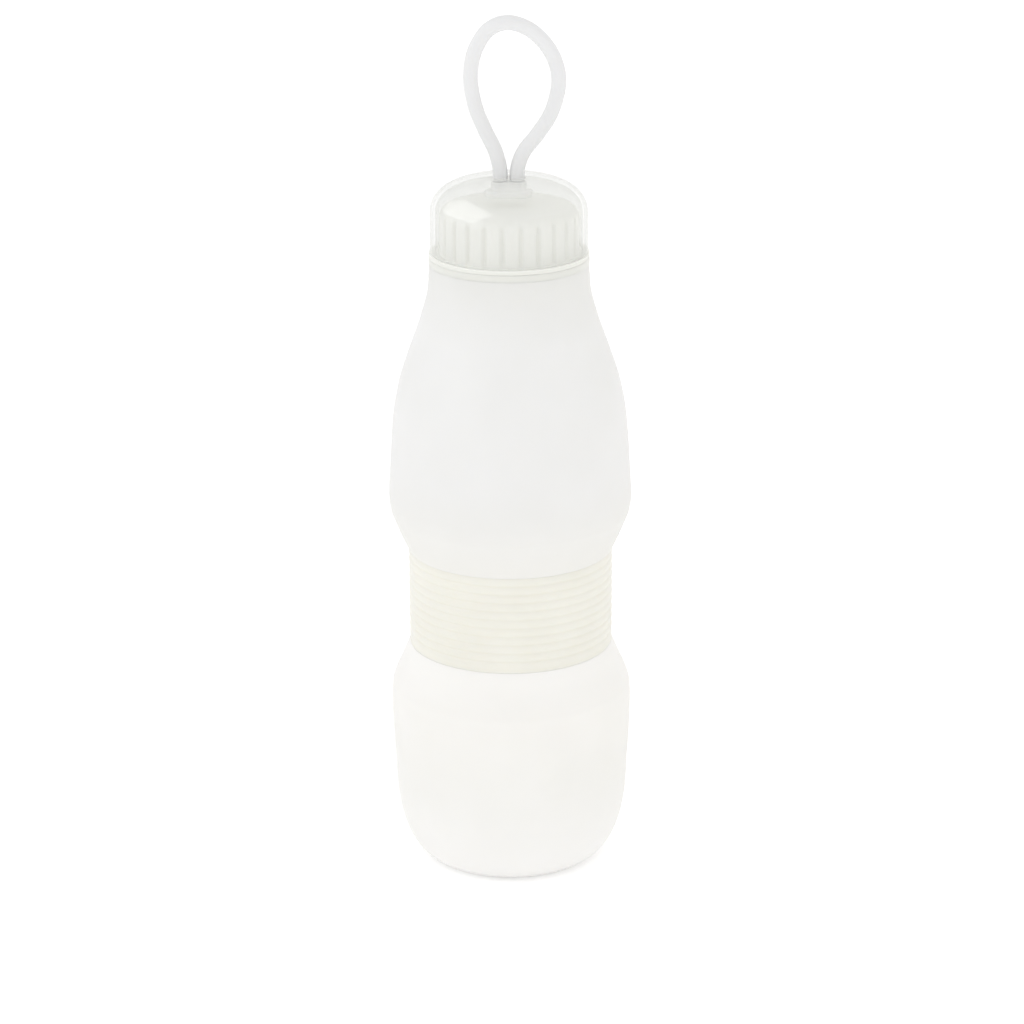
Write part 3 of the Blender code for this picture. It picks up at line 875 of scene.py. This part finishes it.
def make_anchor(material):
    """Foot under the crown with soft edges, and the plug that fills the slot round the cord's ends."""
    low, high = (corner.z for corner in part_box("strap_anchor"))
    lift = 0.7 * MM
    low += lift
    foot_high = 206.2 * MM
    edge = 0.9 * MM
    edge_steps = 6
    sections = []
    for k in range(edge_steps + 1):
        turn = math.pi / 2 * k / edge_steps
        sections.append((FOOT_HALF, FOOT_RADIUS - edge * (1 - math.sin(turn)),
                         low + edge * (1 - math.cos(turn))))
    for k in range(1, edge_steps + 1):
        turn = math.pi / 2 * k / edge_steps
        sections.append((FOOT_HALF, FOOT_RADIUS - edge * (1 - math.cos(turn)),
                         foot_high - edge * (1 - math.sin(turn))))
    plug = SLOT_RADIUS - 0.3 * MM
    fillet = 0.15 * MM
    bevel = 0.4 * MM
    sections += [(SLOT_HALF, plug + fillet, foot_high + fillet), (SLOT_HALF, plug, foot_high + 0.5 * MM),
                 (SLOT_HALF, plug, high - bevel), (SLOT_HALF, plug - 0.3 * bevel, high - 0.3 * bevel),
                 (SLOT_HALF, plug - bevel, high)]
    arc_steps = 20
    points = []
    for half, radius, z in sections:
        for side in (1, -1):
            for i in range(arc_steps + 1):
                angle = -math.pi / 2 + math.pi * i / arc_steps
                points.append((side * (half + radius * math.cos(angle)), side * radius * math.sin(angle), z))
    ring = 2 * (arc_steps + 1)
    faces = ring_faces(len(sections), ring, False)
    faces.append(tuple(reversed(range(ring))))
    faces.append(tuple(range(len(points) - ring, len(points))))
    anchor = finish_mesh("cord_foot", points, faces, material)
    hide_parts("strap_anchor")
    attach(anchor, "cap")
    anchor.visible_shadow = False


# ---------------------------------------------------------------- carrying loop

CORD_RADIUS = 2.15 * MM

# Centre line of the loop, in metres: up the left side, over the top, down the right side.
LOOP_ROUTE = [(-0.0024, 0.2090), (-0.0026, 0.2129), (-0.0040, 0.2180), (-0.0066, 0.2234), (-0.0094, 0.2304),
              (-0.0107, 0.2384), (-0.0096, 0.2460), (-0.0056, 0.2524), (0.0002, 0.2545), (0.0070, 0.2519),
              (0.0124, 0.2456), (0.0144, 0.2378), (0.0125, 0.2292), (0.0084, 0.2225), (0.0044, 0.2174),
              (0.0027, 0.2129), (0.0024, 0.2090)]


def loop_line(count):
    """Catmull-Rom curve through the route, read at even steps along its length."""
    route = [Vector((x, 0.0, z)) for x, z in LOOP_ROUTE]
    ends = [2 * route[0] - route[1]] + route + [2 * route[-1] - route[-2]]
    fine = []
    for a, b, c, d in zip(ends, ends[1:], ends[2:], ends[3:]):
        for k in range(20):
            t = k / 20
            fine.append(0.5 * (2 * b + (c - a) * t + (2 * a - 5 * b + 4 * c - d) * t**2
                               + (3 * b - a - 3 * c + d) * t**3))
    fine.append(route[-1])
    fine = np.array([tuple(p) for p in fine])
    along = np.concatenate([[0.0], np.cumsum(np.linalg.norm(np.diff(fine, axis=0), axis=1))])
    wanted = np.linspace(0.0, along[-1], count)
    line = np.stack([np.interp(wanted, along, fine[:, axis]) for axis in range(3)], axis=1)
    return line, float(along[-1])


def make_loop(material):
    """Soft round cord that stands up from the crown in one loop, both its ends going down into the slot."""
    line, length = loop_line(150)
    sides = 28
    across = np.array([0.0, 1.0, 0.0])
    points = []
    for i, place in enumerate(line):
        ahead = line[min(i + 1, len(line) - 1)] - line[max(i - 1, 0)]
        ahead /= np.linalg.norm(ahead)
        side = np.cross(across, ahead)
        for j in range(sides):
            angle = TURN * j / sides
            points.append(place + CORD_RADIUS * (math.cos(angle) * side + math.sin(angle) * across))
    faces = ring_faces(len(line), sides, False)
    faces.append(tuple(reversed(range(sides))))
    faces.append(tuple(range(len(points) - sides, len(points))))
    loop = finish_mesh("carrying_loop", points, faces, material)
    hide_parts("strap_loop")
    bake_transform(loop)
    path = loop_line(36)[0].tolist()


make_camera()
cord_silicone = silicone_material("cord_silicone", [
    (0.21, (0.80, 0.80, 0.802)), (0.255, (0.825, 0.825, 0.83))])
make_loop(cord_silicone)
# Body tone by height. The stops at 0.052 and 0.065 m paint the top of the lower half lighter: painted light
# that makes up for the shade the upper half casts there.
body_silicone = silicone_material("body_silicone", [
    (0.0, (0.885, 0.875, 0.86)), (0.035, (0.875, 0.865, 0.835)), (0.052, (0.90, 0.885, 0.855)),
    (0.065, (0.935, 0.92, 0.895)), (0.1, (0.84, 0.83, 0.80)), (0.125, (0.845, 0.84, 0.83)),
    (0.165, (0.86, 0.857, 0.848)), (0.184, (0.805, 0.802, 0.78))])
make_lower_skin(body_silicone)
make_upper_skin(body_silicone)
make_band(band_material())
natural_plastic = plastic_material("natural_plastic", (0.80, 0.80, 0.75), 0.3, 0.42)
make_collar(natural_plastic)
make_mouthpiece(natural_plastic)
make_gasket(silicone_material("seal_silicone", [(0.19, (0.80, 0.80, 0.78)), (0.21, (0.82, 0.82, 0.80))]))
make_core(core_material())
make_shell(clear_material())
# Painted light: the foot is far lighter than the cord of the same strap, lightest at its bottom, to make up
# for the shade under the cap's crown.
make_anchor(silicone_material("foot_silicone", [
    (0.203, (0.965, 0.965, 0.95)), (0.209, (0.93, 0.93, 0.925))]))
make_floor(floor_material())
make_lights()
